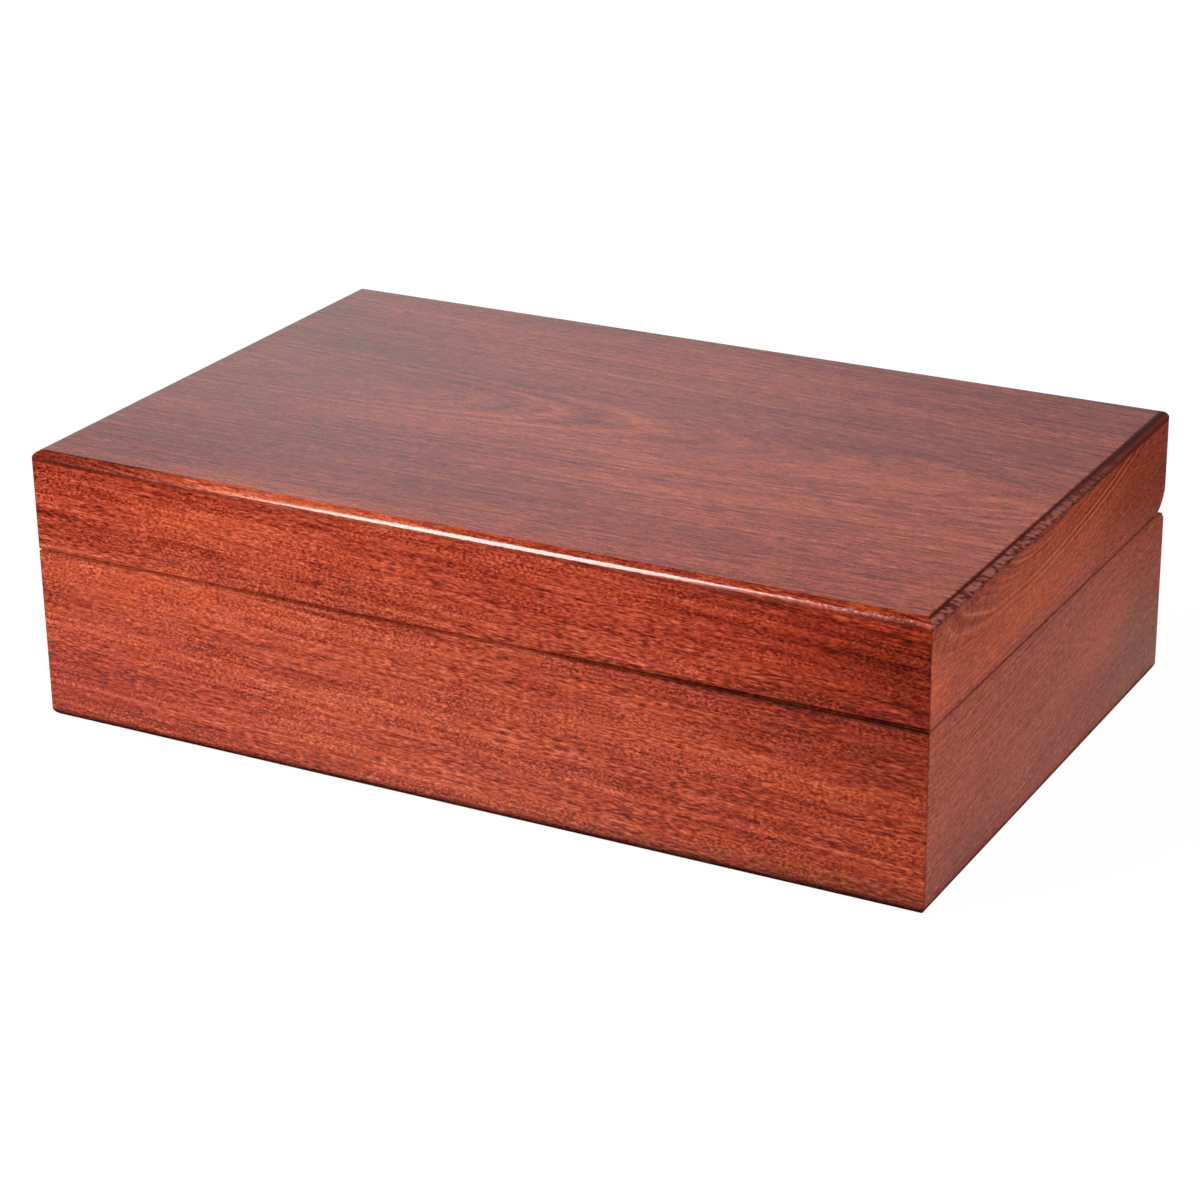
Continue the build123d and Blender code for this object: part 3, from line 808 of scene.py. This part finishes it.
    # A pair of screws for each leaf, and a pair of leaves
    for spacing in ("Screw spacing", "Hinge spacing"):
        step = add_node(tree, "ShaderNodeCombineXYZ", {"X": given[spacing]})
        start = add_node(
            tree, "ShaderNodeVectorMath", {0: step.outputs[0], "Scale": -0.5}, operation="SCALE"
        )
        pair = add_node(
            tree, "GeometryNodeMeshLine",
            {"Count": 2, "Start Location": start.outputs[0], "Offset": step.outputs[0]}, mode="OFFSET",
        )
        copies = add_node(
            tree, "GeometryNodeInstanceOnPoints", {"Points": pair.outputs[0], "Instance": turned}
        )
        turned = add_node(tree, "GeometryNodeRealizeInstances", {"Geometry": copies.outputs[0]}).outputs[0]
    finished = add_node(
        tree, "GeometryNodeSetMaterial", {"Geometry": turned, "Material": given["Material"]}
    )
    add_node(tree, "NodeGroupOutput", {0: finished.outputs[0]})
    return tree


def make_screws(name, tree, settings, seat, turn, material):
    """One object with the four screws of a body, as a plain mesh at the origin."""
    piece = bpy.data.objects.new(name, bpy.data.meshes.new(name))
    bpy.context.scene.collection.objects.link(piece)
    maker = piece.modifiers.new("screws", "NODES")
    maker.node_group = tree
    sockets = {s.name: s.identifier for s in tree.interface.items_tree if s.in_out == "INPUT"}
    left_leaf, right_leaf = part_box("left_hinge_base_leaf"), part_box("right_hinge_base_leaf")
    values = {
        **{label: getattr(settings, label.lower().replace(" ", "_")) for label in SCREW_SIZES},
        "Hinge spacing": right_leaf[0].x - left_leaf[0].x,
        "Sides": settings.sides,
        "Seat": seat,
        "Turn": turn,
        "Material": material,
    }
    for label, value in values.items():
        maker[sockets[label]] = value
    evaluated = piece.evaluated_get(bpy.context.evaluated_depsgraph_get())
    piece.data = bpy.data.meshes.new_from_object(evaluated)
    piece.data.name = name
    piece.modifiers.clear()
    return piece


class TEACHEST_OT_screws(bpy.types.Operator):
    """Turn the eight countersunk screws of the hinges"""

    bl_idname = "teachest.screws"
    bl_label = "Make the hinge screws"

    def execute(self, context):
        settings = context.scene.teachest_brass
        tree = screw_tree()
        material = polished_brass("turned_brass", settings)
        for body, turn in (("base", (0.0, 0.0, 0.0)), ("lid", (math.pi, 0.0, 0.0))):
            node = body + "_hinge_screws"
            low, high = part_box(node)
            face = high.z if body == "base" else low.z
            seat = Vector((0.0, (low.y + high.y) / 2, face))
            piece = make_screws(body + "_screw_set", tree, settings, seat, turn, material)
            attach(piece, body)
            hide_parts(node)
        return {"FINISHED"}


# The studio

# What the lamps are turned to: the lid's front edge, a little right of its middle
FRONT_EDGE = Vector((40 * mm, cad_box[0].y, cad_box[1].z))

# The lamps: name, azimuth and elevation in degrees, distance and size in metres, the setting of its power,
# and whether it is the one that only the lacquer mirrors. The azimuth is 0 in front and 90 at the right
LAMPS = (
    ("key softbox", -33, 31, 0.995, (0.58, 0.34), "key_power", False),
    ("edge strip", -31, 21, 0.995, (0.25, 0.62), "strip_power", True),
    ("fill softbox", 62, 20, 1.5, (1.2, 1.0), "fill_power", False),
    ("back softbox", 215, 25, 1.5, (1.2, 1.0), "back_power", False),
)

# How brightly the lacquer mirrors the pale screen around the room, and what fades it: a measure of the
# direction, two of its values and the factor at each. By height, from the left to the right, up its
# slanting left end, down to its lower edge, up to its upper edge, and from the front to the back
SCREEN_STRENGTH = 1.05
SCREEN_FADES = (
    ("height", 0.31, 0.515, 0.93, 0.07),
    ("width", -0.52, -0.3, 1.12, 0.64),
    ("width", 0.0, 0.2, 1.0, 0.35),
    ("slant", 0.865, 0.925, 1.0, 0.7),
    ("slope", 0.372, 0.39, 0.7, 1.15),
    ("slope", 0.39, 0.41, 1.0, 0.9),
    ("slope", 0.434, 0.446, 1.0, 0.86),
    ("depth", -0.3, 0.3, 0.35, 1.0),
)


def lamp_at(name, azimuth, elevation, distance, size, power, mirrored):
    """A rectangular softbox that faces the lid's front edge. Only a mirrored one shows in the lacquer."""
    a, e = math.radians(azimuth), math.radians(elevation)
    direction = Vector((math.sin(a) * math.cos(e), -math.cos(a) * math.cos(e), math.sin(e)))
    data = bpy.data.lights.new(name, "AREA")
    data.shape = "RECTANGLE"
    data.size, data.size_y = size
    data.energy = power
    lamp = bpy.data.objects.new(name, data)
    lamp.location = FRONT_EDGE + direction * distance
    lamp.rotation_euler = direction.to_track_quat("Z", "Y").to_euler()
    lamp.visible_glossy = mirrored
    lamp.visible_diffuse = not mirrored
    lamp.visible_camera = False
    bpy.context.scene.collection.objects.link(lamp)


def shown_rays(tree):
    """Whether a ray comes straight from the camera, and whether it was mirrored or refracted on its way."""
    rays = add_node(tree, "ShaderNodeLightPath").outputs
    mirrored = add_node(
        tree, "ShaderNodeMath", {0: rays["Is Glossy Ray"], 1: rays["Is Transmission Ray"]},
        operation="MAXIMUM",
    ).outputs[0]
    return rays["Is Camera Ray"], mirrored


def faded(tree, strength, fades):
    """A strength times the factor of each fade: a value, its start and end, and the factor at each."""
    for value, start, end, low, high in fades:
        factor = add_node(
            tree, "ShaderNodeMapRange",
            {"Value": value, "From Min": start, "From Max": end, "To Min": low, "To Max": high},
        )
        strength = add_node(
            tree, "ShaderNodeMath", {0: factor.outputs[0], 1: strength}, operation="MULTIPLY"
        ).outputs[0]
    return strength


def make_world(stage):
    """White all round for the camera, and for the lacquer a pale screen with the dark room above it."""
    world = bpy.data.worlds.new("studio")
    world.use_nodes = True
    bpy.context.scene.world = world
    tree = world.node_tree
    tree.nodes.clear()
    camera_rays, mirrored_rays = shown_rays(tree)
    direction = add_node(
        tree, "ShaderNodeSeparateXYZ", {0: add_node(tree, "ShaderNodeTexCoord").outputs["Generated"]}
    ).outputs
    measures = {"width": direction["X"], "depth": direction["Y"], "height": direction["Z"]}
    for name, other, operation in (("slant", "X", "SUBTRACT"), ("slope", "Y", "DIVIDE")):
        measures[name] = add_node(
            tree, "ShaderNodeMath", {0: direction["Z"], 1: direction[other]}, operation=operation
        ).outputs[0]
    fades = [(measures[name], *fade) for name, *fade in SCREEN_FADES]
    screen = faded(tree, SCREEN_STRENGTH, fades)
    unseen = add_node(
        tree, "ShaderNodeMix", {"Factor": mirrored_rays, "A": stage.ambient, "B": screen}, data_type="FLOAT"
    )
    seen = add_node(
        tree, "ShaderNodeMix", {"Factor": camera_rays, "A": unseen.outputs[0], "B": 1.0}, data_type="FLOAT"
    )
    # The screen is a little cooler than the lamps
    cool = add_node(
        tree, "ShaderNodeMix", {"Factor": mirrored_rays, "A": linear("#ffffff"), "B": linear("#f9fbff")},
        data_type="RGBA",
    )
    light = add_node(
        tree, "ShaderNodeBackground", {"Strength": seen.outputs[0], "Color": cool.outputs["Result"]}
    )
    add_node(tree, "ShaderNodeOutputWorld", {"Surface": light.outputs[0]})


def studio_paper(stage):
    """Matt white paper. It keeps the chest's shadow, and its own glow brings it up to plain white.

    The lacquer mirrors it darker, and darker still away from the chest and to the front right.
    """
    glow_seen = 1.05
    material = bpy.data.materials.new("studio_paper")
    material.use_nodes = True
    tree = material.node_tree
    tree.nodes.clear()
    camera_rays, mirrored_rays = shown_rays(tree)
    at = add_node(
        tree, "ShaderNodeSeparateXYZ", {0: add_node(tree, "ShaderNodeTexCoord").outputs["Object"]}
    ).outputs
    beyond = []
    for axis, half in (("X", cad_box[1].x), ("Y", cad_box[1].y)):
        size = add_node(tree, "ShaderNodeMath", {0: at[axis]}, operation="ABSOLUTE").outputs[0]
        beyond.append(add_node(tree, "ShaderNodeMath", {0: size, 1: half}, operation="SUBTRACT").outputs[0])
    away = add_node(tree, "ShaderNodeMath", {0: beyond[0], 1: beyond[1]}, operation="MAXIMUM").outputs[0]
    front = add_node(
        tree, "ShaderNodeMapRange",
        {"Value": at["X"], "From Min": 0.0, "From Max": 90 * mm, "To Min": 2.0, "To Max": 1.15},
    ).outputs[0]
    mirrored = faded(tree, 1.0, (
        (away, 0.0, 170 * mm, 0.285, 0.085),
        (beyond[0], 50 * mm, 90 * mm, 1.0, 0.6),
        (at["Y"], -cad_box[1].y - 10 * mm, -cad_box[1].y, front, 1.0),
        (away, 0.0, 5 * mm, 0.0, 1.0),
    ))
    plain = add_node(
        tree, "ShaderNodeMapRange",
        {"Value": away, "From Min": 50 * mm, "From Max": 400 * mm, "To Min": 0.92, "To Max": 1.0},
    )
    strength = add_node(
        tree, "ShaderNodeMix", {"Factor": mirrored_rays, "A": glow_seen, "B": mirrored}, data_type="FLOAT"
    )
    share = add_node(
        tree, "ShaderNodeMath", {0: camera_rays, 1: plain.outputs[0], 2: mirrored_rays},
        operation="MULTIPLY_ADD",
    )
    paper = add_node(tree, "ShaderNodeBsdfDiffuse", {"Color": stage.floor})
    white = add_node(tree, "ShaderNodeEmission", {"Strength": strength.outputs[0]})
    mixed = add_node(
        tree, "ShaderNodeMixShader", {0: share.outputs[0], 1: paper.outputs[0], 2: white.outputs[0]}
    )
    add_node(tree, "ShaderNodeOutputMaterial", {"Surface": mixed.outputs[0]})
    return material


def make_floor(stage):
    """A square of paper just under the chest."""
    half, level = stage.floor_size / 2, cad_box[0].z - 0.05 * mm
    mesh = bpy.data.meshes.new("floor")
    corners = [(-half, -half, level), (half, -half, level), (half, half, level), (-half, half, level)]
    mesh.from_pydata(corners, [], [(0, 1, 2, 3)])
    mesh.materials.append(studio_paper(stage))
    floor = bpy.data.objects.new("floor", mesh)
    bpy.context.scene.collection.objects.link(floor)


# Where the camera stands and how it is turned, worked out from the chest's own edges
CAMERA_SPOT = Vector((518.0, -957.5, 489.9)) * mm
CAMERA_AZIMUTH = 28.575
CAMERA_ELEVATION = 22.599
CAMERA_ROLL = -0.761


def make_camera(stage):
    """The camera at the front right, looking down at the chest."""
    data = bpy.data.cameras.new("camera")
    data.lens = stage.lens
    data.sensor_width = 36.0
    camera = bpy.data.objects.new("camera", data)
    tilt = Euler((math.radians(90 - CAMERA_ELEVATION), 0.0, math.radians(CAMERA_AZIMUTH))).to_matrix()
    roll = Matrix.Rotation(math.radians(CAMERA_ROLL), 3, "Z")
    camera.rotation_euler = (tilt @ roll).to_euler()
    camera.location = CAMERA_SPOT
    bpy.context.scene.collection.objects.link(camera)
    bpy.context.scene.camera = camera


class TEACHEST_OT_stage(bpy.types.Operator):
    """Set the floor, the room, the lamps and the camera"""

    bl_idname = "teachest.stage"
    bl_label = "Set the studio"

    def execute(self, context):
        stage = context.scene.teachest_stage
        make_floor(stage)
        make_world(stage)
        for *place, power, mirrored in LAMPS:
            lamp_at(*place, getattr(stage, power), mirrored)
        make_camera(stage)
        context.scene.view_settings.view_transform = "Standard"
        return {"FINISHED"}


STEPS = (TEACHEST_OT_case, TEACHEST_OT_dividers, TEACHEST_OT_hinges, TEACHEST_OT_screws, TEACHEST_OT_stage)
SETTINGS = {"teachest_wood": TeaChestWood, "teachest_brass": TeaChestBrass, "teachest_stage": TeaChestStage}


class TEACHEST_PT_panel(bpy.types.Panel):
    """Sidebar panel with the chest's settings and its steps"""

    bl_idname = "TEACHEST_PT_panel"
    bl_label = "Tea chest"
    bl_space_type = "VIEW_3D"
    bl_region_type = "UI"
    bl_category = "Tea chest"

    def draw(self, context):
        for name, group in SETTINGS.items():
            box = self.layout.box()
            for setting in group.__annotations__:
                box.prop(getattr(context.scene, name), setting)
        for step in STEPS:
            self.layout.operator(step.bl_idname)


def register():
    for group in (*SETTINGS.values(), *STEPS, TEACHEST_PT_panel):
        bpy.utils.register_class(group)
    for name, group in SETTINGS.items():
        setattr(bpy.types.Scene, name, PointerProperty(type=group))


def unregister():
    for name in SETTINGS:
        delattr(bpy.types.Scene, name)
    for group in (TEACHEST_PT_panel, *reversed(STEPS), *reversed(list(SETTINGS.values()))):
        bpy.utils.unregister_class(group)


def main():
    """Finish the chest and set the studio."""
    register()
    bpy.ops.teachest.case()
    bpy.ops.teachest.dividers()
    bpy.ops.teachest.hinges()
    bpy.ops.teachest.screws()
    bpy.ops.teachest.stage()


if __name__ == "__main__":
    main()
